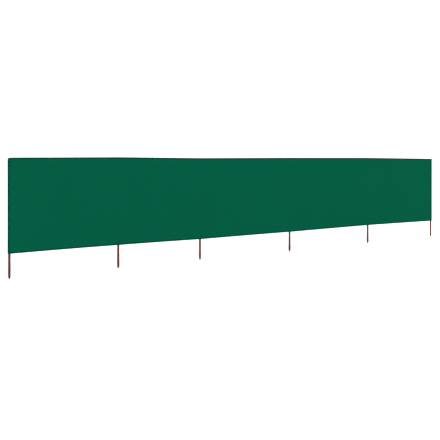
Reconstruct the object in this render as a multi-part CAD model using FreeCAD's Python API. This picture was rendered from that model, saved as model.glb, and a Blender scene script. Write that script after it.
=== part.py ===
import FreeCAD, Part
import math
import os

# A beach windbreak: one long strip of cloth with a pocket at each of six wooden stakes. The stakes
# are pushed into the sand, and each bay of cloth between two of them turns about the stake that it
# shares with its neighbour, as the leaves of a screen do.
#
# The row stands along +X with its front towards -Y. The foot of the first stake is the origin.
# Each bay of cloth lies in front of its stakes, flat against the pockets that hold them.

os.makedirs("parts", exist_ok=True)

# Driving dimensions, in millimetres and degrees.
BAY_LENGTHS = (1075.0, 985.0, 1215.0, 1375.0, 1350.0)  # from stake to stake
BAY_HEADINGS = (-1.1, 0.7, -3.0, 1.3, 1.8)  # how far each bay is turned from +X towards +Y
CLOTH_HEIGHT = 800.0
CLOTH_THICKNESS = 1.6
HEM_HEIGHT = 20.0
HEM_THICKNESS = 2.4
STAKE_DIAMETER = 22.0
STAKE_SHOWING = 210.0  # from the foot of a stake to the lower edge of the cloth
STAKE_POINT_LENGTH = 18.0
STAKE_FOOT_DIAMETER = 10.0  # the blunt end of the point
STAKE_TOP_CHAMFER = 1.5
POCKET_SEAM = 25.0  # from an inner stake's axis to the outer side of each of its two seams
END_POCKET_SEAM = 50.0  # from an end stake's axis to the far side of its one seam
SEAM_WIDTH = 6.0
POCKET_TOP_HEIGHT = 10.0  # the folded and sewn cloth that closes the top of a pocket
STAKE_CLEARANCE = 0.3  # between a stake and its pocket, all round and above
FOLD_CLEARANCE = 0.3  # between a pocket and the bay that turns about it

# What follows from them.
POCKET_INSIDE = STAKE_DIAMETER / 2 + STAKE_CLEARANCE  # radius round the stake
POCKET_OUTSIDE = POCKET_INSIDE + CLOTH_THICKNESS
POCKET_BACK = POCKET_INSIDE - CLOTH_THICKNESS  # the rear layer's far face along a seam
FOLD_RADIUS = math.hypot(POCKET_SEAM, POCKET_INSIDE)  # a pocket ends here, before the next bay
CLOTH_TOP = STAKE_SHOWING + CLOTH_HEIGHT
STAKE_LENGTH = CLOTH_TOP - POCKET_TOP_HEIGHT - STAKE_CLEARANCE
UP = FreeCAD.Vector(0, 0, 1)


def directions(heading):
    """The way along a bay, and the way out of its front, for a heading in degrees."""
    angle = math.radians(heading)
    along = FreeCAD.Vector(math.cos(angle), math.sin(angle), 0)
    front = FreeCAD.Vector(math.sin(angle), -math.cos(angle), 0)
    return along, front


def stake_places():
    """The foot of each stake, found by walking along the bays from the origin."""
    places = [FreeCAD.Vector(0, 0, 0)]
    for length, heading in zip(BAY_LENGTHS, BAY_HEADINGS):
        along, _ = directions(heading)
        places.append(places[-1] + along * length)
    return places


def beside_stake(heading, along_by, out_by):
    """A point near a stake's axis: so far along a bay, and so far out from its front."""
    along, front = directions(heading)
    return along * along_by + front * out_by


def on_circle(radius, angle):
    """The point at that angle, in radians, on a circle round the stake's axis."""
    return FreeCAD.Vector(radius * math.cos(angle), radius * math.sin(angle), 0)


def touch_angle(point, radius, way):
    """Where a line from an outside point touches the circle: way is 1 to go round it
    anticlockwise from the point, and -1 to go round it clockwise."""
    return math.atan2(point.y, point.x) + way * math.acos(radius / point.Length)


def outline(radius, left, right):
    """A face with a round back about the stake and straight sides to its corners.

    left and right are each a heading and the corners on that side, from the front one to the rear
    one. An end pocket has no corners on one side, and the round part goes on to the front there.
    """
    left_heading, left_corners = left
    right_heading, right_corners = right
    half_turn = math.radians(right_heading - left_heading) / 2
    _, middle_front = directions((left_heading + right_heading) / 2)
    front_angle = math.atan2(middle_front.y, middle_front.x)
    if right_corners:
        start = touch_angle(right_corners[-1], radius, 1)
    else:
        start = front_angle
    if left_corners:
        end = touch_angle(left_corners[-1], radius, -1)
    else:
        end = front_angle
    while end <= start:
        end += 2 * math.pi
    points = [on_circle(radius, end)]
    points += reversed(left_corners)
    if left_corners and right_corners and half_turn:
        points.append(middle_front * (radius / math.cos(half_turn)))
    points += right_corners
    points.append(on_circle(radius, start))
    edges = [Part.LineSegment(a, b).toShape() for a, b in zip(points, points[1:])]
    middle = on_circle(radius, (start + end) / 2)
    edges.append(Part.Arc(points[-1], middle, points[0]).toShape())
    return Part.Face(Part.Wire(edges))


def pocket(left_heading, left_reach, left_seam, right_heading, right_reach, right_seam):
    """A pocket round a stake at the origin, open at the bottom and closed at the top.

    A reach is how far its outer corners stand from the axis on that side, and a seam is where
    its two layers meet. Both are 0 on the closed side of an end pocket.
    """
    outer_left, inner_left, outer_right, inner_right = [], [], [], []
    if left_reach:
        outer_left = [
            beside_stake(left_heading, -left_reach, POCKET_OUTSIDE),
            beside_stake(left_heading, -left_reach, POCKET_BACK),
        ]
        inner_left = [beside_stake(left_heading, -left_seam, POCKET_INSIDE)]
    if right_reach:
        outer_right = [
            beside_stake(right_heading, right_reach, POCKET_OUTSIDE),
            beside_stake(right_heading, right_reach, POCKET_BACK),
        ]
        inner_right = [beside_stake(right_heading, right_seam, POCKET_INSIDE)]
    outer = outline(POCKET_OUTSIDE, (left_heading, outer_left), (right_heading, outer_right))
    inner = outline(POCKET_INSIDE, (left_heading, inner_left), (right_heading, inner_right))
    shell = outer.extrude(UP * CLOTH_HEIGHT)
    return shell.cut(inner.extrude(UP * (CLOTH_HEIGHT - POCKET_TOP_HEIGHT)))


def inner_pocket(left_heading, right_heading):
    """A pocket between two bays. Its edge towards the next bay is rounded about the stake, so
    that the next bay can turn past it."""
    inner_seam = POCKET_SEAM - SEAM_WIDTH
    shape = pocket(
        left_heading, POCKET_SEAM, inner_seam, right_heading, FOLD_RADIUS, inner_seam
    )
    side = 2 * FOLD_RADIUS
    corner = FreeCAD.Vector(0, -side / 2, 0)
    beyond = Part.makeBox(side, side, CLOTH_HEIGHT, corner)
    beyond = beyond.cut(Part.makeCylinder(FOLD_RADIUS, CLOTH_HEIGHT))
    return shape.cut(beyond)


def stake():
    """A turned stake: a pointed foot with a blunt end, a plain shaft and a chamfered top."""
    radius = STAKE_DIAMETER / 2
    profile = [
        FreeCAD.Vector(0, 0, 0),
        FreeCAD.Vector(STAKE_FOOT_DIAMETER / 2, 0, 0),
        FreeCAD.Vector(radius, 0, STAKE_POINT_LENGTH),
        FreeCAD.Vector(radius, 0, STAKE_LENGTH - STAKE_TOP_CHAMFER),
        FreeCAD.Vector(radius - STAKE_TOP_CHAMFER, 0, STAKE_LENGTH),
        FreeCAD.Vector(0, 0, STAKE_LENGTH),
        FreeCAD.Vector(0, 0, 0),
    ]
    return Part.Face(Part.makePolygon(profile)).revolve(FreeCAD.Vector(), UP, 360)


def strip(bay, low, high, thickness):
    """A flat band of a bay's cloth between two heights, from one pocket to the next, in the
    bay's own frame: its first stake at the origin and its front towards -Y."""
    length = BAY_LENGTHS[bay]
    last_bay = len(BAY_LENGTHS) - 1
    end = length - (END_POCKET_SEAM if bay == last_bay else POCKET_SEAM)
    if bay == 0:
        start = END_POCKET_SEAM
    else:
        start = POCKET_SEAM - SEAM_WIDTH
    corner = FreeCAD.Vector(start, -POCKET_OUTSIDE, low)
    band = Part.makeBox(end - start, thickness, high - low, corner)
    if bay > 0:
        # The edge is hollowed about the stake that this bay turns on.
        foot = FreeCAD.Vector(0, 0, low)
        band = band.cut(Part.makeCylinder(FOLD_RADIUS + FOLD_CLEARANCE, high - low, foot))
    return band


def export(name, shape, place, heading=0.0):
    """Turn a shape to a heading, stand it at its place and write it as one node."""
    solid = shape.copy()
    solid.Placement = FreeCAD.Placement(place, FreeCAD.Rotation(UP, heading))
    solid.exportStep(f"parts/{name}.step")
    valid = solid.isValid() and len(solid.Solids) == 1
    print(f"{name}: {solid.Volume / 1000:.1f} cm3, one valid solid: {valid}")


places = stake_places()
first, last = 0, len(BAY_LENGTHS)

for number, place in enumerate(places):
    export(f"stake_{number + 1}", stake(), place)
    if number == first:
        heading = BAY_HEADINGS[first]
        sewn = pocket(heading, 0, 0, heading, END_POCKET_SEAM, END_POCKET_SEAM - SEAM_WIDTH)
    elif number == last:
        heading = BAY_HEADINGS[-1]
        sewn = pocket(heading, END_POCKET_SEAM, END_POCKET_SEAM - SEAM_WIDTH, heading, 0, 0)
    else:
        sewn = inner_pocket(BAY_HEADINGS[number - 1], BAY_HEADINGS[number])
    export(f"pocket_{number + 1}", sewn, place + UP * STAKE_SHOWING)

hem_low, hem_high = STAKE_SHOWING + HEM_HEIGHT, CLOTH_TOP - HEM_HEIGHT
for bay, heading in enumerate(BAY_HEADINGS):
    cloth = strip(bay, hem_low, hem_high, CLOTH_THICKNESS)
    top_hem = strip(bay, hem_high, CLOTH_TOP, HEM_THICKNESS)
    bottom_hem = strip(bay, STAKE_SHOWING, hem_low, HEM_THICKNESS)
    export(f"cloth_{bay + 1}", cloth, places[bay], heading)
    export(f"top_hem_{bay + 1}", top_hem, places[bay], heading)
    export(f"bottom_hem_{bay + 1}", bottom_hem, places[bay], heading)

for number, place in enumerate(places):
    print(f"stake_{number + 1} stands at x {place.x:.3f}, y {place.y:.3f}")
print(f"stake length {STAKE_LENGTH:.1f}, fold radius {FOLD_RADIUS:.3f}")
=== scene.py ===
# %% [markdown]
# # A beach windbreak
# Six stakes hold one long strip of cloth upright. Each stake stands in a pocket that is sewn into
# the strip, and the stretch of cloth between two stakes is a bay. The imported CAD model says where
# everything is. This file makes what the eye sees: woven polyester, folded hems, rows of stitches
# and stained wood.
#
# The frame is loaded first, and the boxes of its parts give the places of the stakes and the height of
# the cloth. The finished cloth has to stay in it.

# %% Frame
import math

import bmesh
import bpy
import numpy as np
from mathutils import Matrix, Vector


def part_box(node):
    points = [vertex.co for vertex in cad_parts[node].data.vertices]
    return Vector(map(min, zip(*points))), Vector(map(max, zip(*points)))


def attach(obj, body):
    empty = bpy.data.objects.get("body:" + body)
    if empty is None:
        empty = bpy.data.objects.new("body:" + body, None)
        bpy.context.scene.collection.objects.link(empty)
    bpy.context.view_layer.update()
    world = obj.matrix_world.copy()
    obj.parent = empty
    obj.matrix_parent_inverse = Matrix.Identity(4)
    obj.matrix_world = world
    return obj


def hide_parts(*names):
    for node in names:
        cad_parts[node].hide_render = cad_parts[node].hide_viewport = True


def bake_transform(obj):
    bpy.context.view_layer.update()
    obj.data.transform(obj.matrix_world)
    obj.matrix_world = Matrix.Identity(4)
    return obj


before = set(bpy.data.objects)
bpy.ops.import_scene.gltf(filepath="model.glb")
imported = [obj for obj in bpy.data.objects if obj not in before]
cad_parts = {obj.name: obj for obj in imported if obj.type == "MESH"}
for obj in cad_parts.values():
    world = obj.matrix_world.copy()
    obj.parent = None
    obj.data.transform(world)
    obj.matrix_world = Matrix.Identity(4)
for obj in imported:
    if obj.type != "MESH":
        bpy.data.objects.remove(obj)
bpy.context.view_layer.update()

# %% [markdown]
# ## The plan of the row
# Everything sewn is easier to think of as the flat strip it was cut from. So a place on the cloth
# is given by three distances: how far along the strip, counted from the first stake, how far out
# from the line of the stakes towards the front, and how high. One function turns these into the
# row's own frame. It follows the bays, and close to a stake it turns from one bay's heading to the
# next, so that a fold is a curve and not a crease. It could also be done by bending flat meshes
# with a curve modifier, but then the stitches would have to be bent with them.

# %% Plan
MM = 0.001
stake_names = sorted(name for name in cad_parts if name.startswith("stake_"))
bay_count = len(stake_names) - 1
feet = []
for name in stake_names:
    low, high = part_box(name)
    feet.append(((low.x + high.x) / 2, (low.y + high.y) / 2))
feet = np.array(feet)
steps = np.diff(feet, axis=0)
bay_length = np.hypot(steps[:, 0], steps[:, 1])
bay_heading = np.arctan2(steps[:, 1], steps[:, 0])
stake_at = np.concatenate([[0.0], np.cumsum(bay_length)])
stake_radius = (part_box("stake_1")[1].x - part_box("stake_1")[0].x) / 2
stake_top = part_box("stake_1")[1].z
strip_low, strip_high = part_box("pocket_1")[0].z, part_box("pocket_1")[1].z
TURN_REACH = stake_radius  # the strip turns between headings this close to a stake


def smooth(share):
    """Eases from 0 to 1, flat at both ends."""
    share = np.clip(share, 0, 1)
    return share * share * (3 - 2 * share)


def place(along, out, height):
    """Strip distances, as arrays of one shape, turned into points of the row's frame."""
    along, out, height = np.broadcast_arrays(*(np.asarray(v, float) for v in (along, out, height)))
    bay = np.clip(np.searchsorted(stake_at, along, side="right") - 1, 0, bay_count - 1)
    stake, heading = bay.copy(), bay_heading[bay]
    for inner in range(1, bay_count):
        near = np.abs(along - stake_at[inner]) < TURN_REACH
        share = smooth((along - stake_at[inner] + TURN_REACH) / (2 * TURN_REACH))
        turned = bay_heading[inner - 1] + share * (bay_heading[inner] - bay_heading[inner - 1])
        heading = np.where(near, turned, heading)
        stake = np.where(near, inner, stake)
    from_stake = along - stake_at[stake]
    x = feet[stake, 0] + np.cos(heading) * from_stake + np.sin(heading) * out
    y = feet[stake, 1] + np.sin(heading) * from_stake - np.cos(heading) * out
    return np.stack([x, y, height], axis=-1)


def front_way(along, height):
    """The direction straight out of the strip's front at each place."""
    return place(along, 1 + 0 * along, height) - place(along, 0 * along, height)


print("bays of", [round(float(v), 3) for v in bay_length], "m")
print("cloth from", round(strip_low, 3), "to", round(strip_high, 3), "m up")

# %% [markdown]
# ## The edges of the strip
# A strip pulled tight between stakes that are pushed in by hand is never quite level. Its top and
# lower edges step up and down by a few millimetres from stake to stake, and here and there the
# lower hem is drawn up in the middle of a bay. At both ends the closed corner of the pocket slips
# down over the round top of the stake. A physics simulation could find such shapes, but these few
# distances are what a person reads off the real thing, so they are written down.

# %% Edges
TOP_RISE = np.array([-1.0, 5.5, -0.5, 5.5, 8.5, 0.5]) * MM  # at each stake
LOW_RISE = np.array([-0.5, 3.0, -5.5, 3.5, 5.5, -9.0]) * MM
LOW_ARCH = np.array([1.5, 1.0, 1.0, 0.0, 0.0]) * MM  # in the middle of each bay
CORNER_DROOP = (5.0 * MM, 4.0 * MM)  # at the first stake and at the last one
CORNER_REACH = 18 * MM
CORNER_START = CORNER_REACH / 3  # the droop starts this far inward of the end stake's axis
CORNER_MOST = 1.2  # reaches, beyond which a corner droops no further
CORNER_POWER = 2.5


def edge_heights(along):
    """The heights of the lower and the top edge at a distance along the strip."""
    along = np.asarray(along, float)
    top = strip_high + np.interp(along, stake_at, TOP_RISE)
    low = strip_low + np.interp(along, stake_at, LOW_RISE)
    bay = np.clip(np.searchsorted(stake_at, along, side="right") - 1, 0, bay_count - 1)
    share = np.clip((along - stake_at[bay]) / bay_length[bay], 0, 1)
    low = low + LOW_ARCH[bay] * np.sin(math.pi * share)
    from_ends = (along, stake_at[-1] - along)
    for droop, inward in zip(CORNER_DROOP, from_ends):
        outward = np.clip((CORNER_START - inward) / CORNER_REACH, 0, CORNER_MOST)
        top = top - droop * outward ** CORNER_POWER
    return low, top


for stake, along in enumerate(stake_at):
    low, top = edge_heights(along)
    print(f"stake {stake + 1}: cloth from {low:.4f} to {top:.4f}")

# %% [markdown]
# ## Cloth as a thick sheet
# Cloth has two faces and a thickness, and a hem is a fold whose edge is round. So each piece of
# cloth is made from two grids of points, one for each face, joined round the rim into one closed
# mesh. A solidify modifier would give the same even thickness, but a hem is thicker than the cloth
# beside it, and two grids allow that. Each sheet also carries the place of every point on the flat
# strip as a UV map in metres, so that the weave runs true round a pocket and past a seam. Where the
# two faces meet along a fold, their points are welded, so that no face there is a mere line.

# %% Sheets
CLOTH = 0.8 * MM
FRONT = abs(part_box("pocket_1")[0].x)  # the cloth's front face, out from the line of the stakes
LAYER_GAP = 0.05 * MM  # between two layers that are sewn together
SAME_PLACE = 0.001 * MM
CLOTH_CREASE = math.radians(50)  # faces that meet at more than this look sharp


def in_collection(name, mesh):
    made = bpy.data.objects.new(name, mesh)
    bpy.context.scene.collection.objects.link(made)
    return made


def inside_out(points, faces):
    """Whether the faces of a closed mesh of quads look inwards, from the sign of its volume."""
    a, b, c, d = (points[faces[:, corner]] for corner in range(4))
    return np.sum(a * np.cross(b, c)) + np.sum(a * np.cross(c, d)) < 0


def weld(mesh):
    """Join points in the same place, as where both faces of a sheet meet along a fold."""
    welded = bmesh.new()
    welded.from_mesh(mesh)
    bmesh.ops.remove_doubles(welded, verts=welded.verts, dist=SAME_PLACE)
    welded.to_mesh(mesh)
    welded.free()


def sheet_mesh(name, outer, inner, flat_along, flat_up, fold=None):
    """One closed mesh from two grids of points, rows by columns, with its flat places as UVs.

    fold is a number of painted shade for each point, or for each row: 1 at a folded edge and 0 in the
    open cloth.
    """
    rows, columns = outer.shape[:2]
    count = rows * columns
    number = np.arange(count).reshape(rows, columns)
    corners = [number[:-1, :-1], number[:-1, 1:], number[1:, 1:], number[1:, :-1]]
    front = np.stack(corners, -1).reshape(-1, 4)
    back = front[:, ::-1] + count
    ring = np.concatenate([number[0, :-1], number[:-1, -1], number[-1, :0:-1], number[:0:-1, 0]])
    after = np.roll(ring, -1)
    rim = np.stack([after, ring, ring + count, after + count], -1)
    faces = np.concatenate([front, back, rim])
    points = np.concatenate([outer.reshape(-1, 3), inner.reshape(-1, 3)])
    if inside_out(points, faces):
        faces = faces[:, ::-1]
    mesh = bpy.data.meshes.new(name)
    mesh.from_pydata(points.tolist(), [], faces.tolist())
    flat = np.stack(np.broadcast_arrays(flat_along, flat_up), -1).reshape(-1, 2)
    flat = np.concatenate([flat, flat])
    uv = mesh.uv_layers.new(name="cloth")
    uv.data.foreach_set("uv", flat[faces.ravel()].astype(np.float32).ravel())
    if fold is not None:
        fold = np.broadcast_to(fold if fold.ndim == 2 else fold[:, None], (rows, columns))
        per_point = np.tile(fold.ravel(), 2)
        layer = mesh.attributes.new("fold", "FLOAT", "POINT")
        layer.data.foreach_set("value", per_point.astype(np.float32))
    weld(mesh)
    mesh.shade_smooth()
    mesh.set_sharp_from_angle(angle=CLOTH_CREASE)
    mesh.update()
    return in_collection(name, mesh)


print(f"cloth {CLOTH / MM:.1f} mm thick, front face {FRONT / MM:.1f} mm out")

# %% [markdown]
# ## How the cloth of a bay settles
# The cloth between two seams is held at both sides and hangs under its own weight, and because its
# four corners aren't quite level it is a little skewed. That is a job for cloth simulation: a grid
# the size of the bay is pinned along both seams, starts with a slight unevenness, and is left to
# settle for a few frames. Only how far it moves in or out is kept, as a low relief for the fine
# mesh, so that the edges stay where they were put. Tight cloth moves by a few millimetres, so the
# relief of a bay that moves further is scaled down.

# %% Settling
SEAM = 25 * MM  # from an inner stake's axis to the outer side of its pocket
END_SEAM = 50 * MM  # the same at the two end stakes
SETTLE_GRID = 20 * MM
SETTLE_FRAMES = 24
START_UNEVEN = 1.5 * MM
MOST_RELIEF = 3.0 * MM


def bay_ends(bay):
    """Where the open cloth of a bay starts and ends along the strip."""
    start = stake_at[bay] + (END_SEAM if bay == 0 else SEAM)
    end = stake_at[bay + 1] - (END_SEAM if bay == bay_count - 1 else SEAM)
    return start, end


def settle(bay):
    """Simulates one bay's cloth and returns its relief as a grid, rows up and columns along."""
    start, end = bay_ends(bay)
    columns = round((end - start) / SETTLE_GRID) + 1
    rows = round((strip_high - strip_low) / SETTLE_GRID) + 1
    along, up = np.meshgrid(np.linspace(start, end, columns), np.linspace(0, 1, rows))
    low, top = edge_heights(along)
    number = np.arange(rows * columns).reshape(rows, columns)
    faces = np.stack([number[:-1, :-1], number[:-1, 1:], number[1:, 1:], number[1:, :-1]], -1)
    cut = np.stack([along, 0 * up, strip_low + up * (strip_high - strip_low)], -1)
    share = (along - start) / (end - start)
    uneven = np.sin(math.pi * share) * np.sin(9 * along + 5 * up + bay)
    uneven = uneven + 0.5 * np.sin(math.pi * share) * np.sin(31 * along - 13 * up + 2 * bay)
    hung = np.stack([along, START_UNEVEN * uneven, low + up * (top - low)], -1)
    mesh = bpy.data.meshes.new("settling")
    mesh.from_pydata(cut.reshape(-1, 3).tolist(), [], faces.reshape(-1, 4).tolist())
    cloth = in_collection("settling", mesh)
    cloth.shape_key_add(name="cut")
    key = cloth.shape_key_add(name="hung")
    key.data.foreach_set("co", hung.astype(np.float32).ravel())
    key.value = 1.0
    held = cloth.vertex_groups.new(name="held")
    held.add(np.concatenate([number[:, 0], number[:, -1]]).tolist(), 1.0, "REPLACE")
    hems = cloth.vertex_groups.new(name="hems")
    hems.add(np.concatenate([number[0], number[-1]]).tolist(), 1.0, "REPLACE")
    cloth_modifier = cloth.modifiers.new("Cloth", "CLOTH")
    settings = cloth_modifier.settings
    settings.quality = 6
    settings.mass = 0.02
    settings.tension_stiffness = 25
    settings.compression_stiffness = 25
    settings.shear_stiffness = 12
    settings.bending_stiffness = 0.05
    settings.vertex_group_mass = "held"
    settings.vertex_group_shrink = "hems"
    settings.shrink_min = -0.0004
    settings.shrink_max = 0.001
    settings.rest_shape_key = cloth.data.shape_keys.key_blocks["cut"]
    cloth_modifier.collision_settings.use_collision = False
    cloth_modifier.point_cache.frame_end = SETTLE_FRAMES
    for step in range(1, SETTLE_FRAMES + 1):
        bpy.context.scene.frame_set(step)
    seen = cloth.evaluated_get(bpy.context.evaluated_depsgraph_get())
    points = np.empty(rows * columns * 3, np.float32)
    seen.data.vertices.foreach_get("co", points)
    relief = points.reshape(rows, columns, 3)[:, :, 1].astype(float)
    bpy.data.objects.remove(cloth)
    bpy.data.meshes.remove(mesh)
    bpy.context.scene.frame_set(1)
    return relief


settled = []
for bay in range(bay_count):
    relief = settle(bay)
    print(f"bay {bay + 1}: relief from {relief.min() / MM:.1f} to {relief.max() / MM:.1f} mm")
    settled.append(relief * min(1.0, MOST_RELIEF / max(np.abs(relief).max(), 1e-9)))

# %% [markdown]
# ## Puckers along the stitching
# A row of stitches is a little shorter than the cloth it holds, so the cloth beside it gathers into
# small ripples that run across the row and die out within a few centimetres. They could be bump in
# the material, but they are large enough to catch light at an edge, so they are real relief. Sums
# of sines with lengths that don't match give an uneven rhythm without any random numbers.

# %% Relief
HEM = 20 * MM
HEM_STITCH = 17 * MM  # from the strip's edge
SEAM_STITCH = 3 * MM  # inside the outer side of a seam
HEM_PUCKER = 0.28 * MM
SEAM_PUCKER = 0.25 * MM
PUCKER_LENGTH = 27 * MM
PUCKER_REACH = 16 * MM
stitched_at = [END_SEAM - SEAM_STITCH, stake_at[-1] - END_SEAM + SEAM_STITCH]
for inner in stake_at[1:-1]:
    stitched_at += [inner - SEAM + SEAM_STITCH, inner + SEAM - SEAM_STITCH]


def ripple(distance, turn):
    """An uneven wave along a row of stitches, from -1 to 1."""
    phase = 2 * math.pi * distance / PUCKER_LENGTH + turn
    swell = 0.6 + 0.4 * np.sin(0.23 * phase + 2 * turn)
    return swell * np.sin(phase + 0.9 * np.sin(0.31 * phase) + 0.6 * np.sin(0.117 * phase))


def settled_relief(along, share_up):
    """The simulated relief, read between the points of its grid."""
    found = np.zeros(np.broadcast(along, share_up).shape)
    for bay, relief in enumerate(settled):
        start, end = bay_ends(bay)
        rows, columns = relief.shape
        column = np.clip((along - start) / (end - start), 0, 1) * (columns - 1)
        row = np.clip(share_up, 0, 1) * (rows - 1)
        left = np.minimum(column.astype(int), columns - 2)
        below = np.minimum(row.astype(int), rows - 2)
        across, rise = smooth(column - left), smooth(row - below)
        lower = relief[below, left] * (1 - across) + relief[below, left + 1] * across
        upper = relief[below + 1, left] * (1 - across) + relief[below + 1, left + 1] * across
        inside = (along > start) & (along < end)
        found = np.where(inside, lower * (1 - rise) + upper * rise, found)
    return found


def relief_at(along, height):
    """How far the cloth stands out from flat at a place on the strip."""
    low, top = edge_heights(along)
    total = -settled_relief(along, (height - low) / (top - low))
    for from_edge, turn in ((top - height, 0.4), (height - low, 2.1)):
        reach = np.exp(-(((from_edge - HEM_STITCH) / PUCKER_REACH) ** 2))
        total = total + HEM_PUCKER * reach * ripple(along, turn)
    for number, at in enumerate(stitched_at):
        reach = np.exp(-(((along - at) / PUCKER_REACH) ** 2))
        total = total + SEAM_PUCKER * reach * ripple(height, 1.3 * number)
    return total


sampled = (np.linspace(0, stake_at[-1], 900), np.linspace(strip_low, strip_high, 200))
sample = relief_at(*np.meshgrid(*sampled))
print(f"relief from {sample.min() / MM:.2f} to {sample.max() / MM:.2f} mm")

# %% [markdown]
# ## Colour and nodes
# Colours are picked as they look on a screen and turned to the linear values that light mixes in.
# Materials are trees of nodes, and one small function adds a node with its settings and its links.

# %% Node helpers
def linear(hex_colour):
    """A screen colour such as #0a5c44 as four linear numbers."""
    parts = [int(hex_colour[i:i + 2], 16) / 255 for i in (1, 3, 5)]
    return [p / 12.92 if p <= 0.04045 else ((p + 0.055) / 1.055) ** 2.4 for p in parts] + [1.0]


def feed(tree, node, inputs):
    """Gives a node's sockets their values, or their links from other nodes."""
    for socket, value in inputs.items():
        if isinstance(value, bpy.types.NodeSocket):
            tree.links.new(value, node.inputs[socket])
        else:
            node.inputs[socket].default_value = value


def add(tree, kind, inputs=None, **choices):
    """Adds a node. choices are its own settings, and inputs are fed to its sockets."""
    made = tree.nodes.new("ShaderNode" + kind)
    for name, value in choices.items():
        setattr(made, name, value)
    feed(tree, made, inputs or {})
    return made


def mix_colours(tree, share, first, second):
    """Adds a mix of two colours, by a share from 0 to 1, and returns its result."""
    return add(tree, "Mix", {0: share, 6: first, 7: second}, data_type="RGBA").outputs[2]


def start_material(name):
    """A new material, its node tree and its main shader."""
    material = bpy.data.materials.new(name)
    material.use_nodes = True
    tree = material.node_tree
    return material, tree, tree.nodes["Principled BSDF"]


print("mid grey in linear light:", [round(v, 4) for v in linear("#808080")])

# %% [markdown]
# ## Woven polyester
# The cloth is plain-woven polyester, dyed through. Each thread goes over one and under the next, so
# the surface is a fine chequer of short raised threads. It is made here from two wave textures, one
# for each direction, and a chequer that says which one is on top. Real threads are about 0.5 mm
# apart, far too fine to show, so they are drawn 2 mm apart. Threads also vary in thickness over
# their length, which shows as faint streaks both ways. Light sinks between the threads of such a
# cloth, so it has next to no shine: the roughness is high and the specular level very low. Where
# the cloth is folded it is two or three layers deep and lets no light through, so it looks darker;
# that darker tone is painted shade, darker greens mixed into the colour.

# %% Polyester
THREAD = 2 * MM
WAVE_TURN = math.pi / 10  # a wave texture at scale 1 repeats after this distance
STREAKS = ((8, 260, 1), (220, 6, 1))  # repeats to the metre: long along the strip, and long up it
OPEN_GREENS = ("#023b29", "#04533d")  # the darkest and the lightest green of open cloth
# painted shade: darker greens for folded edges and for the cloth turning round an end stake
PAINTED_SHADE_GREENS = ("#022b20", "#023a2e")  # the same at a folded edge


def polyester(name, weave_depth):
    """Plain-woven polyester between two greens, with darker ones painted in as shade at its folded
    edges.
    """
    material, tree, shader = start_material(name)
    flat = add(tree, "UVMap", uv_map="cloth").outputs["UV"]
    warp = add(tree, "TexWave", {"Vector": flat, "Scale": WAVE_TURN / THREAD}, bands_direction="X")
    weft = add(tree, "TexWave", {"Vector": flat, "Scale": WAVE_TURN / THREAD}, bands_direction="Y")
    over = add(tree, "TexChecker", {"Vector": flat, "Scale": 1 / THREAD})
    threads = add(tree, "Mix", {0: over.outputs["Fac"], 2: warp.outputs["Fac"], 3: weft.outputs["Fac"]})
    streaks = []
    for stretch in STREAKS:
        laid = add(tree, "Mapping", {"Vector": flat, "Scale": stretch})
        noise = add(tree, "TexNoise", {"Vector": laid.outputs["Vector"], "Scale": 1.0, "Detail": 3.0})
        streaks.append(noise.outputs["Fac"])
    both = add(tree, "Mix", {0: 0.5, 2: streaks[0], 3: streaks[1]})
    broad = add(tree, "TexNoise", {"Vector": flat, "Scale": 2.2, "Detail": 2.0})
    tone = add(tree, "Mix", {0: 0.35, 2: both.outputs[0], 3: broad.outputs["Fac"]})
    spread = add(tree, "Mix", {0: 0.6, 2: tone.outputs[0], 3: threads.outputs[0]}).outputs[0]
    open_green = mix_colours(tree, spread, *map(linear, OPEN_GREENS))
    painted_shade_green = mix_colours(tree, spread, *map(linear, PAINTED_SHADE_GREENS))
    # the fold attribute is painted shade: it mixes in the darker greens at folded edges and round the
    # end stakes
    fold = add(tree, "Attribute", attribute_name="fold").outputs["Fac"]
    painted = mix_colours(tree, fold, open_green, painted_shade_green)
    rough = add(tree, "MapRange", {"Value": threads.outputs[0], "To Min": 0.97, "To Max": 0.88})
    height = add(tree, "Mix", {0: 0.25, 2: threads.outputs[0], 3: both.outputs[0]})
    bump = add(tree, "Bump", {"Height": height.outputs[0], "Strength": 0.6, "Distance": weave_depth})
    feed(tree, shader, {
        "Base Color": painted, "Roughness": rough.outputs["Result"], "IOR": 1.54,
        "Specular IOR Level": 0.005, "Normal": bump.outputs["Normal"],
    })
    return material


green_polyester = polyester("woven_green_polyester", 0.35 * MM)
folded_hem = polyester("folded_polyester_hem", 0.3 * MM)
print("cloth materials", green_polyester.name, folded_hem.name)

# %% [markdown]
# ## Sewing thread
# The rows are sewn with spun polyester thread, dyed to match. Spun thread is a twist of short
# fibres, so it is matt, with a fine slanting twist along it. Real thread is 0.35 mm thick and is
# drawn at twice that, so that a row of stitches can be seen close up.

# %% Thread
def sewing_thread():
    """Matt spun thread with a slanting twist."""
    material, tree, shader = start_material("spun_polyester_thread")
    where = add(tree, "TexCoord").outputs["Object"]
    slanted = add(tree, "Mapping", {"Vector": where, "Rotation": (0.5, 0.6, 0.4)})
    twist = add(tree, "TexWave", {"Vector": slanted.outputs["Vector"], "Scale": WAVE_TURN / (0.5 * MM)})
    fibres = add(tree, "TexNoise", {"Vector": where, "Scale": 900.0, "Detail": 2.0})
    tone = add(tree, "Mix", {0: 0.5, 2: twist.outputs["Fac"], 3: fibres.outputs["Fac"]})
    colour = mix_colours(tree, tone.outputs[0], linear("#064a38"), linear("#0c604a"))
    bump = add(tree, "Bump", {"Height": tone.outputs[0], "Strength": 0.3, "Distance": 0.1 * MM})
    feed(tree, shader, {
        "Base Color": colour, "Roughness": 0.85, "IOR": 1.54, "Specular IOR Level": 0.05,
        "Normal": bump.outputs["Normal"],
    })
    return material


thread = sewing_thread()
print("thread material", thread.name)

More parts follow.
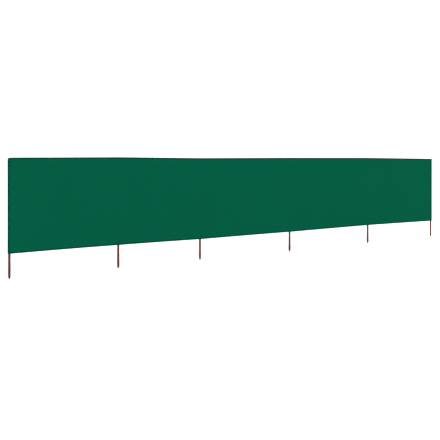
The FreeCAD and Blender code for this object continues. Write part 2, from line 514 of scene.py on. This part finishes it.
# %% [markdown]
# ## Stained wood
# The stakes are softwood dowels, turned and dipped in a red-brown stain. Grain runs along them as
# fine streaks, the stain takes unevenly in broad patches, and the cut end grain of the point drinks
# more of it and ends up darker. The stain leaves a dull surface. The streaks are noise stretched
# along the stake: fine ones about 1 mm wide and 15 cm long, over broader ones of 4 mm.

# %% Wood
POINT_LENGTH = 18 * MM  # of a stake's foot


def stained_wood():
    """Softwood with a red-brown stain, darker at the cut point."""
    material, tree, shader = start_material("stained_softwood")
    where = add(tree, "TexCoord").outputs["Object"]
    drawn = add(tree, "Mapping", {"Vector": where, "Scale": (900, 900, 7)})
    grain = add(tree, "TexNoise", {"Vector": drawn.outputs["Vector"], "Scale": 1.0, "Detail": 6.0})
    long_rings = add(tree, "Mapping", {"Vector": where, "Scale": (260, 260, 2.5)})
    rings = add(tree, "TexNoise", {"Vector": long_rings.outputs["Vector"], "Scale": 1.0, "Detail": 2.0})
    patches = add(tree, "TexNoise", {"Vector": where, "Scale": 14.0, "Detail": 2.0})
    streak = add(tree, "Mix", {0: 0.45, 2: grain.outputs["Fac"], 3: rings.outputs["Fac"]})
    tone = add(tree, "Mix", {0: 0.3, 2: streak.outputs[0], 3: patches.outputs["Fac"]})
    ramp = add(tree, "ValToRGB", {"Fac": tone.outputs[0]})
    dark, light = ramp.color_ramp.elements
    dark.position, dark.color = 0.34, linear("#42180b")
    light.position, light.color = 0.66, linear("#692a17")
    middle = ramp.color_ramp.elements.new(0.5)
    middle.color = linear("#571f10")
    height = add(tree, "SeparateXYZ", {"Vector": where}).outputs["Z"]
    end_grain = add(
        tree, "MapRange",
        {"Value": height, "From Min": 0.4 * POINT_LENGTH, "From Max": 1.3 * POINT_LENGTH,
         "To Min": 0.35, "To Max": 0.0},
    )
    stain = ramp.outputs["Color"]
    painted = mix_colours(tree, end_grain.outputs["Result"], stain, linear("#35150d"))
    bump = add(tree, "Bump", {"Height": grain.outputs["Fac"], "Strength": 0.4, "Distance": 0.2 * MM})
    rough = add(tree, "MapRange", {"Value": streak.outputs[0], "To Min": 0.75, "To Max": 0.6})
    feed(tree, shader, {
        "Base Color": painted, "Roughness": rough.outputs["Result"], "IOR": 1.5,
        "Specular IOR Level": 0.15, "Normal": bump.outputs["Normal"],
    })
    return material


stained_softwood = stained_wood()
print("wood material", stained_softwood.name)

# %% [markdown]
# ## Stakes
# A stake is a turned dowel: a plain shaft with a small chamfer at its top and a point at its foot,
# cut blunt so that it doesn't splinter. It is made by rings of points up the shaft, which is what a
# lathe does. Turned softwood is never a perfect cylinder, so each ring is a little out of round and
# the axis bows by a fraction of a millimetre. Only the lower part shows below the cloth.

# %% Stakes
SIDES = 40
FOOT_RADIUS = 5 * MM
CHAMFER = 1.5 * MM
FOOT_EDGE = 0.4 * MM  # broken off the edge of the blunt end
OUT_OF_ROUND = 0.12 * MM
BOW = 0.25 * MM
WOOD_CREASE = math.radians(28)


def body_at(stake):
    """The body that a stake rides on, counting stakes from 0."""
    return f"bay_{max(stake, 1)}"


def wooden_stake(stake):
    """One stake, from rings of points, closed at both ends."""
    heights = [0.0, FOOT_EDGE, 4 * MM, 8 * MM, 12 * MM, 16.5 * MM, POINT_LENGTH, 20 * MM, 28 * MM]
    heights += np.linspace(40 * MM, stake_top - 6 * MM, 60).tolist()
    heights += [stake_top - CHAMFER, stake_top]
    angles = np.linspace(0, 2 * math.pi, SIDES, endpoint=False)
    points, faces = [], []
    for height in heights:
        cone = FOOT_RADIUS + (stake_radius - FOOT_RADIUS) * min(height / POINT_LENGTH, 1)
        if height == 0:
            cone -= FOOT_EDGE
        if height == stake_top:
            cone = stake_radius - CHAMFER
        uneven = np.sin(2 * angles + 3 * height + stake) + 0.6 * np.sin(5 * angles - 9 * height)
        inside = min(height / POINT_LENGTH, 1) * (height < stake_top - CHAMFER)
        radius = cone - OUT_OF_ROUND * inside * (1 + uneven / 1.6) / 2
        bow = BOW * math.sin(math.pi * height / stake_top) * math.cos(stake * 1.7)
        x = feet[stake, 0] + bow + radius * np.cos(angles)
        y = feet[stake, 1] + radius * np.sin(angles)
        points += np.stack([x, y, np.full(SIDES, height)], -1).tolist()
    for ring in range(len(heights) - 1):
        for side in range(SIDES):
            after = (side + 1) % SIDES
            first, second = ring * SIDES, (ring + 1) * SIDES
            faces.append((first + side, first + after, second + after, second + side))
    faces.append(tuple(range(SIDES))[::-1])
    faces.append(tuple(range((len(heights) - 1) * SIDES, len(heights) * SIDES)))
    mesh = bpy.data.meshes.new(f"stake_{stake + 1}_wood")
    mesh.from_pydata(points, [], faces)
    mesh.shade_smooth()
    mesh.set_sharp_from_angle(angle=WOOD_CREASE)
    mesh.materials.append(stained_softwood)
    made = in_collection(mesh.name, mesh)
    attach(made, body_at(stake))
    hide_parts(f"stake_{stake + 1}")
    return made


for stake in range(bay_count + 1):
    made = wooden_stake(stake)
    print(made.name, len(made.data.polygons), "faces")

# %% [markdown]
# ## Rows of stitches
# A sewing machine leaves a row of short, even stitches that dip into the cloth at each needle hole.
# Each stitch here is a small spindle of thread lying in the surface, and a whole row is one mesh
# made by copying one spindle along the line. Real stitches could be curves with a bevel, but
# thousands of curve objects would be slow, and a joined mesh exports as it is.

# %% Stitches
STITCH = 3.2 * MM
PITCH = 4 * MM
THREAD_RADIUS = 0.35 * MM
ROUND_THREAD = 6


def stitch_shape():
    """One spindle of thread along X, as points and faces, with its rounded side towards Z."""
    points, faces = [(-STITCH / 2, 0, -THREAD_RADIUS)], []
    for x, share in ((-0.3 * STITCH, 0.9), (0.3 * STITCH, 0.9)):
        for side in range(ROUND_THREAD):
            angle = 2 * math.pi * side / ROUND_THREAD
            radius = THREAD_RADIUS * share
            points.append((x, radius * math.cos(angle), radius * math.sin(angle)))
    points.append((STITCH / 2, 0, -THREAD_RADIUS))
    last = len(points) - 1
    for side in range(ROUND_THREAD):
        after = (side + 1) % ROUND_THREAD
        faces.append((0, 1 + after, 1 + side))
        faces.append((1 + side, 1 + after, 1 + ROUND_THREAD + after, 1 + ROUND_THREAD + side))
        faces.append((last, 1 + ROUND_THREAD + side, 1 + ROUND_THREAD + after))
    return np.array(points), faces


def walked_along(line):
    """How far each point of a line is from its first point, measured along the line."""
    return np.concatenate([[0], np.cumsum(np.linalg.norm(np.diff(line, axis=0), axis=1))])


def between(wanted, distance, known):
    """Points or directions known at some distances, read at the wanted ones."""
    return np.stack([np.interp(wanted, distance, known[:, i]) for i in range(3)], -1)


def stitches_along(line, outward):
    """Copies the spindle along a line of points, with the outward direction at each point."""
    distance = walked_along(line)
    count = max(int(distance[-1] / PITCH), 1)
    middles = (np.arange(count) + 0.5) * distance[-1] / count
    half = STITCH / 4
    at = between(middles, distance, line)
    up = between(middles, distance, outward)
    forward = between(middles + half, distance, line) - between(middles - half, distance, line)
    forward /= np.linalg.norm(forward, axis=1, keepdims=True)
    side = np.cross(up, forward)
    side /= np.linalg.norm(side, axis=1, keepdims=True)
    up = np.cross(forward, side)
    x, y, z = (STITCH_POINTS[None, :, i:i + 1] for i in range(3))
    return at[:, None] + (x * forward[:, None] + y * side[:, None] + z * up[:, None])


def stitching(name, rows):
    """One mesh of all the given rows, each a line of points and its outward directions."""
    copies = np.concatenate([stitches_along(line, outward) for line, outward in rows])
    joined = []
    for copy in range(len(copies)):
        first = copy * len(STITCH_POINTS)
        joined += [tuple(first + corner for corner in face) for face in STITCH_FACES]
    mesh = bpy.data.meshes.new(name)
    mesh.from_pydata(copies.reshape(-1, 3).tolist(), [], joined)
    mesh.shade_smooth()
    mesh.materials.append(thread)
    return in_collection(name, mesh)


STITCH_POINTS, STITCH_FACES = stitch_shape()
print("a stitch has", len(STITCH_FACES), "faces")

# %% [markdown]
# ## The open cloth of a bay
# Between two pockets the strip is a single layer, with a hem folded over along its top and lower
# edge. The open cloth and the two hems are separate meshes that share one front surface. They meet
# in the shallow groove that the hem's stitches pull into the cloth, so no gap can be seen.
# A hem is folded to the back: in front the cloth runs on to the round edge, and behind it a second
# layer comes down and ends in a turned-in edge.

# %% Bays
COLUMN_STEP = 6 * MM
ROW_STEP = 10 * MM
FIRST_ROW = 0.003  # a thin first row beside each hem, as a share of the height between them
GROOVE = 0.35 * MM
GROOVE_WIDTH = 1.2 * MM
HEM_THICKNESS = 2.3 * MM
HEM_PUFF = 0.15 * MM  # the folded layers push the front out a little
PUFF_RISE = 6 * MM  # the width over which they do
FRONT_ROWS = np.array([18, 17, 16, 14, 11, 8, 5, 2.5, 1.15, 0.5, 0.12, 0]) * MM
BACK_ROWS = np.array([20, 19.6, 18.6, 16, 12, 8, 5, 2.5, 1.15, 0.5, 0.12, 0]) * MM
TURNED_IN = np.array([18.6, 19.6, 20]) * MM  # rows where the hem's back layer ends in a fold
TURNED_IN_THICKNESS = (1, 0.85, 0.42)  # there, as shares of the hem's thickness
# painted shade: the folded edges of hems and pockets are darkened in the colour
FOLD_SHADE = 17 * MM  # the folded edge looks darker over this width
FOLD_STEEPNESS = 2.2  # of the change from the darker tone to the cloth's own


def fold_shade(from_edge):
    """How far the cloth has the painted shade of a folded edge, a darker tone mixed into its colour."""
    return smooth(FOLD_STEEPNESS * (1 - from_edge / FOLD_SHADE))


def groove(from_edge):
    """How deep the stitches pull the front surface in, by distance from the strip's edge."""
    return GROOVE * np.exp(-(((from_edge - HEM_STITCH) / GROOVE_WIDTH) ** 2))


def fold_round(from_edge, thickness):
    """How far a fold's face curves away as it nears the edge, for a fold of that thickness."""
    radius = thickness / 2
    inward = np.clip(from_edge, 0, radius)
    return radius - np.sqrt(np.maximum(radius ** 2 - (radius - inward) ** 2, 0))


def front_out(along, height, from_edge):
    """How far out the cloth's front face is."""
    puff = HEM_PUFF * smooth((HEM_STITCH - from_edge) / PUFF_RISE)
    return FRONT + relief_at(along, height) - groove(from_edge) + puff


def open_cloth(bay):
    """The single layer between the hems, as front and back grids."""
    start, end = bay_ends(bay)
    along = np.linspace(start, end, round((end - start) / COLUMN_STEP) + 1)
    low, top = edge_heights(along)
    first, last = low + FRONT_ROWS[0], top - FRONT_ROWS[0]
    rows = round((strip_high - strip_low) / ROW_STEP)
    share = np.concatenate([[0], np.linspace(FIRST_ROW, 1 - FIRST_ROW, rows), [1]])[:, None]
    height = first + share * (last - first)
    from_edge = np.minimum(height - low, top - height)
    out = front_out(along[None], height, from_edge)
    outer, inner = place(along[None], out, height), place(along[None], out - CLOTH, height)
    return along[None] + 0 * height, height, outer, inner


def hem(bay, at_top):
    """A folded hem along a bay, as front and back grids with the fold's painted shade by row."""
    start, end = bay_ends(bay)
    along = np.linspace(start, end, round((end - start) / COLUMN_STEP) + 1)[None]
    low, top = edge_heights(along)
    front_edge, back_edge = FRONT_ROWS[:, None], BACK_ROWS[:, None]
    front_height = top - front_edge if at_top else low + front_edge
    back_height = top - back_edge if at_top else low + back_edge
    curve = fold_round(front_edge, HEM_THICKNESS)
    front = front_out(along, front_height, front_edge) - curve
    middle = FRONT + relief_at(along, back_height)
    thickness = np.interp(BACK_ROWS, TURNED_IN, TURNED_IN_THICKNESS)[:, None]
    back = middle - HEM_THICKNESS * thickness + fold_round(back_edge, HEM_THICKNESS)
    outer, inner = place(along, front, front_height), place(along, back, back_height)
    return along + 0 * front_height, front_height, outer, inner, fold_shade(FRONT_ROWS)


def outward_of(outer, inner):
    """Unit directions from the inner face to the outer one."""
    way = outer - inner
    return way / np.maximum(np.linalg.norm(way, axis=-1, keepdims=True), 1e-9)


STITCH_ROW = 1  # of FRONT_ROWS, where the groove is deepest
BACK_STITCH_ROW = 3  # of BACK_ROWS, a little inside the turned-in edge
for bay in range(bay_count):
    body = f"bay_{bay + 1}"
    along, height, outer, inner = open_cloth(bay)
    cloth = sheet_mesh(f"bay_{bay + 1}_cloth", outer, inner, along, height)
    cloth.data.materials.append(green_polyester)
    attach(cloth, body)
    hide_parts(f"cloth_{bay + 1}")
    hems, rows = [], []
    for edge, at_top in (("top", True), ("bottom", False)):
        along, height, outer, inner, shade = hem(bay, at_top)
        made = sheet_mesh(f"bay_{bay + 1}_{edge}_hem", outer, inner, along, height, shade)
        made.data.materials.append(folded_hem)
        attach(made, body)
        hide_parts(f"{edge}_hem_{bay + 1}")
        hems.append(made)
        out_way = front_way(along, height)
        rows.append((outer[STITCH_ROW], out_way[STITCH_ROW]))
        rows.append((inner[BACK_STITCH_ROW], -out_way[STITCH_ROW]))
    sewn = stitching(f"bay_{bay + 1}_hem_stitches", rows)
    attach(sewn, body)
    start, end = bay_ends(bay)
    print(cloth.name, len(cloth.data.polygons), "faces;", sewn.name, len(sewn.data.polygons))

# %% [markdown]
# ## Pockets round the inner stakes
# At an inner stake the strip runs straight past in front, and a second strip is sewn on behind it
# by two rows, one on each side, to make a sleeve for the stake. The sleeve hugs the back of the
# stake and comes forward to the seams in two straight flanks. Its top is closed: above the stake
# the round sleeve narrows to a flat fold. The cloth turns here when a bay is folded, but these two
# pieces are built in place and not attached to either bay.

# %% Pocket rows
POCKET_HEM = 1.5 * MM  # two thin layers, so that the stake still passes
FLAT_EDGE = np.array([0, 0.1, 0.4, 0.75, 1.5, 3, 5, 8, 11, 14, 16, 17, 18, 19, 19.6, 20]) * MM
SLEEVE_INSIDE = stake_radius + 0.35 * MM
SLEEVE_CLOTH = 0.8 * MM
SLEEVE_WAVE = 0.6  # the share of the strip's relief that the sleeve behind it follows
LAYERS_END = 0.8 * MM  # the width over which a hem's extra layers end
POCKET_STEP = 1.8 * MM
CLOSE_BELOW = 1.5 * MM  # the sleeve starts to close this far below the stake's top
CLOSE_OVER = 3 * MM  # and takes at least this height to close


def row_heights(low, top):
    """Heights of the rows from the lower edge to the top edge, and how far each is from an edge."""
    count = round((strip_high - strip_low) / ROW_STEP)
    share = np.linspace(0, 1, count)[1:-1, None]
    middle = (low + HEM) + share * (top - low - 2 * HEM)
    height = np.concatenate([low + FLAT_EDGE[:, None], middle, top - FLAT_EDGE[::-1, None]])
    return height, np.minimum(height - low, top - height)


def layer_thickness(from_edge, plain, hemmed):
    """The cloth's thickness: thicker in the hem, with a round folded edge."""
    share = smooth((HEM - from_edge) / LAYERS_END)
    return plain + (hemmed - plain) * share


def strip_front(start, end):
    """The strip in front of a stake with its hems, as one closed sheet."""
    along = np.linspace(start, end, round((end - start) / POCKET_STEP) + 1)[None]
    low, top = edge_heights(along)
    height, from_edge = row_heights(low, top)
    thickness = layer_thickness(from_edge, CLOTH, POCKET_HEM)
    curve = fold_round(from_edge, POCKET_HEM)
    out = front_out(along, height, from_edge)
    outer = place(along, out - curve, height)
    inner = place(along, out - thickness + curve, height)
    return along + 0 * height, height, outer, inner, fold_shade(from_edge)


def tangent_path(seam, wing, radius, flank, arc):
    """Half of a sleeve's inner face in plan, from the seam to the middle of its back.

    Distances are from the stake's axis: (along, out) for each point, and the outward direction.
    wing is how far out the seam lies. flank and arc are numbers of points.
    """
    inner_end = np.array([seam - 2 * SEAM_STITCH, wing])
    reach = math.hypot(*inner_end)
    touch = math.atan2(inner_end[1], inner_end[0]) - math.acos(radius / reach)
    angles = np.linspace(touch, -math.pi / 2, arc)
    circle = np.stack([radius * np.cos(angles), radius * np.sin(angles)], -1)
    side = inner_end + np.linspace(0, 1, flank + 1)[:-1, None] * (circle[0] - inner_end)
    sewn = np.array([[seam, wing], [seam - SEAM_STITCH, wing]])
    points = np.concatenate([sewn, side, circle])
    away = np.concatenate([
        np.repeat([[0.0, -1.0]], 3, axis=0),
        np.repeat([[math.cos(touch), math.sin(touch)]], flank - 1, axis=0),
        np.stack([np.cos(angles), np.sin(angles)], -1),
    ])
    return points, away


def closing(height, top):
    """How much of its depth the sleeve keeps at a height: 1 round the stake and 0 at the top."""
    begin = np.minimum(stake_top - CLOSE_BELOW, top - CLOSE_OVER)
    share = np.clip((height - begin) / (top - begin), 0, 1)
    return np.sqrt(1 - share ** 2)


def walked_up(points, height):
    """The way up each column of a sheet along its surface, which is longer where it closes in."""
    steps = np.linalg.norm(np.diff(points, axis=0), axis=-1)
    return height[0] + np.concatenate([0 * steps[:1], np.cumsum(steps, axis=0)])


def sleeve(stake):
    """The second strip behind an inner stake, as one closed sheet."""
    wing = FRONT - CLOTH - LAYER_GAP
    half, away = tangent_path(SEAM, wing, SLEEVE_INSIDE, flank=5, arc=17)
    plan = np.concatenate([half * [-1, 1], half[-2::-1]])
    away = np.concatenate([away * [-1, 1], away[-2::-1]])
    along = stake_at[stake] + plan[None, :, 0]
    low, top = edge_heights(along)
    height, from_edge = row_heights(low, top)
    keep = closing(height, top)
    thickness = layer_thickness(from_edge, SLEEVE_CLOTH, POCKET_HEM)
    curve = fold_round(from_edge, POCKET_HEM)
    wave = SLEEVE_WAVE * relief_at(along, height)
    inner_out = wing + (plan[None, :, 1] - wing) * keep
    inner = place(along + away[None, :, 0] * curve, inner_out + away[None, :, 1] * curve + wave, height)
    depth = thickness - curve
    outer = place(along + away[None, :, 0] * depth, inner_out + away[None, :, 1] * depth + wave, height)
    walked = walked_along(plan)
    flat_along = stake_at[stake] + walked[None] + 0 * height
    return flat_along, height, outer, inner, fold_shade(from_edge), walked[-1]


print("rows in a pocket", len(row_heights(np.array([[0.2]]), np.array([[1.0]]))[0]))

# %% [markdown]
# The two strips of a pocket and their stitches lie across the hinge, and each has its place baked
# into its mesh. Their rows of stitches follow the columns and rows of the sheets that they hold.

# %% Inner pockets
BEND_HEIGHT = (strip_low + strip_high) / 2
SEAM_ROWS = slice(3, -3)  # a seam stops short of the round edges


def nearest(values, wanted):
    return int(np.argmin(np.abs(np.asarray(values) - wanted)))


def hem_stitch_rows(height):
    """The rows of a pocket's sheet that lie under the stitches of its two hems."""
    lower = nearest(height[:, 0] - height[0, 0], HEM_STITCH)
    upper = nearest(height[-1, 0] - height[:, 0], HEM_STITCH)
    return lower, upper


def bend_over(made, stake):
    """Bakes the piece's place into its mesh; the two ends of the pocket's width are found but not used.
    """
    start = place(stake_at[stake] - SEAM, 0, BEND_HEIGHT)
    end = place(stake_at[stake] + SEAM, 0, BEND_HEIGHT)
    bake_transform(made)


pocket_sheets = []
for stake in range(1, bay_count):
    name = f"pocket_{stake + 1}"
    start, end = stake_at[stake] - SEAM, stake_at[stake] + SEAM
    along, height, outer, inner, shade = strip_front(start, end)
    front = sheet_mesh(f"{name}_front", outer, inner, along, height, shade)
    rows = []
    out_way = front_way(along, height)
    for at in (start + SEAM_STITCH, end - SEAM_STITCH):
        column = nearest(along[0], at)
        rows.append((outer[:, column], out_way[:, column]))
    hem_rows = hem_stitch_rows(height)
    for row in hem_rows:
        rows.append((outer[row], out_way[row]))
    flat_along, height, outer, inner, shade, cut = sleeve(stake)
    flat_up = walked_up(outer, height)
    back = sheet_mesh(f"{name}_sleeve", outer, inner, flat_along, flat_up, shade)
    away = outward_of(outer, inner)
    for column in (1, -2):
        rows.append((outer[SEAM_ROWS, column], away[SEAM_ROWS, column]))
    for row in hem_rows:
        rows.append((outer[row], away[row]))
    sewn = stitching(f"{name}_stitches", rows)
    for made in (front, back):
        made.data.materials.append(green_polyester)
        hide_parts(name)
    for made in (front, back, sewn):
        bend_over(made, stake)
    pocket_sheets.append((front, (2 * SEAM, strip_high - strip_low), [sewn]))
    pocket_sheets.append((back, (cut, strip_high - strip_low), []))
    faces = len(front.data.polygons) + len(back.data.polygons)
    print(name, f"sleeve cut {cut / MM:.0f} mm wide,", faces, "faces")

# %% [markdown]
# ## Pockets at the two ends
# At each end the strip itself is folded back round the stake and sewn down about 50 mm in, so the
# cloth in front, round the side and behind is one piece. Its plan is the same tangent path as a
# sleeve's, with the strip's front face added, and its top narrows to a flat fold in the same way.
# The outer corner sits a little lower than the rest of the edge.

# %% End pockets
# painted shade: the cloth turning round an end stake is darkened in its colour
OUTER_REACH = (15.5 * MM, 23 * MM)  # the fold stands this far beyond the first and last stake
SIDE_SHADE = (10 * MM, 35 * MM)  # its darker tone starts this far before the stake's axis
SIDE_FADE = 30 * MM  # and grows over this width
BACK_WAVE = 0.5  # the share of the strip's relief that the back follows
FRONT_COLUMNS = 26


def end_pocket(stake):
    """The strip folded round an end stake, as one closed sheet."""
    inward, reach, side_shade = 1, OUTER_REACH[0], SIDE_SHADE[0]
    if stake > 0:
        inward, reach, side_shade = -1, OUTER_REACH[1], SIDE_SHADE[1]
    wing = FRONT - 2 * CLOTH - LAYER_GAP
    half, away = tangent_path(END_SEAM, wing, FRONT, flank=6, arc=22)
    turn = np.linspace(-math.pi / 2, -3 * math.pi / 2, 33)[1:]
    circle = np.stack([FRONT * np.cos(turn), FRONT * np.sin(turn)], -1)
    front_line = np.linspace(0, END_SEAM, FRONT_COLUMNS + 1)[1:]
    front = np.stack([front_line, np.full(len(front_line), FRONT)], -1)
    circle[:, 0] *= reach / FRONT
    plan = np.concatenate([half, circle, front])
    away = np.concatenate([
        away,
        np.stack([np.cos(turn), np.sin(turn)], -1),
        np.repeat([[0.0, 1.0]], len(front_line), axis=0),
    ])
    plan, away = plan * [inward, 1], away * [inward, 1]
    along = stake_at[stake] + plan[None, :, 0]
    low, top = edge_heights(along)
    height, from_edge = row_heights(low, top)
    keep = closing(height, top)
    flat_plane = FRONT - CLOTH
    squashed = np.minimum(plan[None, :, 1], flat_plane)
    out = plan[None, :, 1] - squashed + flat_plane + (squashed - flat_plane) * keep
    in_front = smooth((plan[None, :, 1] / FRONT - 0.5) / 0.5)
    wave = relief_at(along, height) * (BACK_WAVE + (1 - BACK_WAVE) * in_front)
    pull = groove(from_edge) * in_front
    thickness = layer_thickness(from_edge, CLOTH, POCKET_HEM)
    curve = fold_round(from_edge, POCKET_HEM)
    steps_in = (curve + pull, thickness - curve)
    outer, inner = (
        place(along - away[None, :, 0] * step, out - away[None, :, 1] * step + wave, height)
        for step in steps_in
    )
    walked = walked_along(plan)
    flat_along = stake_at[stake] - inward * (walked[None] - walked[-1]) + 0 * height
    # painted shade, darker towards the outer edge where the cloth turns round the end stake
    painted_side_shade = smooth((side_shade - inward * plan[None, :, 0]) / SIDE_FADE)
    shade = np.maximum(fold_shade(from_edge), painted_side_shade)
    return flat_along, height, outer, inner, shade, walked[-1], plan


for stake in (0, bay_count):
    name = f"pocket_{stake + 1}"
    flat_along, height, outer, inner, shade, cut, plan = end_pocket(stake)
    flat_up = walked_up(outer, height)
    made = sheet_mesh(f"{name}_fold", outer, inner, flat_along, flat_up, shade)
    made.data.materials.append(green_polyester)
    away = outward_of(outer, inner)
    rows = []
    from_seam = np.abs(plan[::-1, 0])[:FRONT_COLUMNS]
    front_column = len(plan) - 1 - nearest(from_seam, END_SEAM - SEAM_STITCH)
    for column in (1, front_column):
        rows.append((outer[SEAM_ROWS, column], away[SEAM_ROWS, column]))
    for row in hem_stitch_rows(height):
        rows.append((outer[row], away[row]))
    sewn = stitching(f"{name}_stitches", rows)
    for piece in (made, sewn):
        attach(piece, body_at(stake))
    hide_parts(name)
    pocket_sheets.append((made, (cut, strip_high - strip_low), [sewn]))
    print(name, f"cut {cut / MM:.0f} mm wide,", len(made.data.polygons), "faces")

# %% [markdown]
# ## The pocket sheets
# Every pocket sheet is kept in a list with the size that it was cut to, and here only its stake
# number is read from its name. The strip is stretched between the stakes, so the sizes are those of
# the finished windbreak, pocket by pocket.

# %% Pocket sheets
for made, flat, on_it in pocket_sheets:
    stake = made.name.split("_")[1]

# %% [markdown]
# ## Floor, light and camera
# The floor is a wide pale sheet, so bright that it runs into the white round it. The light is as
# soft as a white room: an even white world, with one large, soft sun from the front and left to
# give the folds a little shape. A sun lights all six metres alike, where a lamp would fade along
# the row. The camera stands in front and to the left of the first stake, and looks across the row
# with a long lens. It is level, so that upright stakes stay parallel, and its view is shifted down,
# as in a view camera, in place of a tilt.

# %% Stage
floor_mesh = bpy.data.meshes.new("floor")
floor_mesh.from_pydata([(-60, -60, 0), (60, -60, 0), (60, 60, 0), (-60, 60, 0)], [], [(0, 1, 2, 3)])
floor = in_collection("floor", floor_mesh)
pale, tree, shader = start_material("pale_floor")
where = add(tree, "TexCoord").outputs["Object"]
mottle = add(tree, "TexNoise", {"Vector": where, "Scale": 3.0, "Detail": 3.0})
tint = mix_colours(tree, mottle.outputs["Fac"], linear("#f6f6f6"), linear("#fafafa"))
feed(tree, shader, {"Base Color": tint, "Roughness": 1.0, "Specular IOR Level": 0.0})
floor_mesh.materials.append(pale)

world = bpy.data.worlds.new("white_room")
world.use_nodes = True
world.node_tree.nodes["Background"].inputs["Color"].default_value = (1, 1, 1, 1)
world.node_tree.nodes["Background"].inputs["Strength"].default_value = 1.5
bpy.context.scene.world = world

sun = bpy.data.lights.new("soft_sun", "SUN")
sun.energy = 1.0
sun.angle = math.radians(50)
sun_object = in_collection("soft_sun", sun)
sun_object.rotation_euler = (math.radians(50), 0, math.radians(-35))

bpy.context.scene.view_settings.view_transform = "Standard"

CAMERA_PLACE = (-3.282, -6.365, 0.979)
CAMERA_TURN = 48.585  # from +X towards +Y, in degrees
LENS = 68.43
VIEW_SHIFT = -0.1338  # downwards, as a share of the picture's width
lens = bpy.data.cameras.new("camera")
lens.lens = LENS
lens.sensor_width = 36
lens.shift_y = VIEW_SHIFT
lens.clip_end = 200
camera = in_collection("camera", lens)
camera.location = CAMERA_PLACE
camera.rotation_euler = (math.radians(90), 0, math.radians(CAMERA_TURN - 90))
bpy.context.scene.camera = camera
print("camera", CAMERA_PLACE, "lens", LENS)
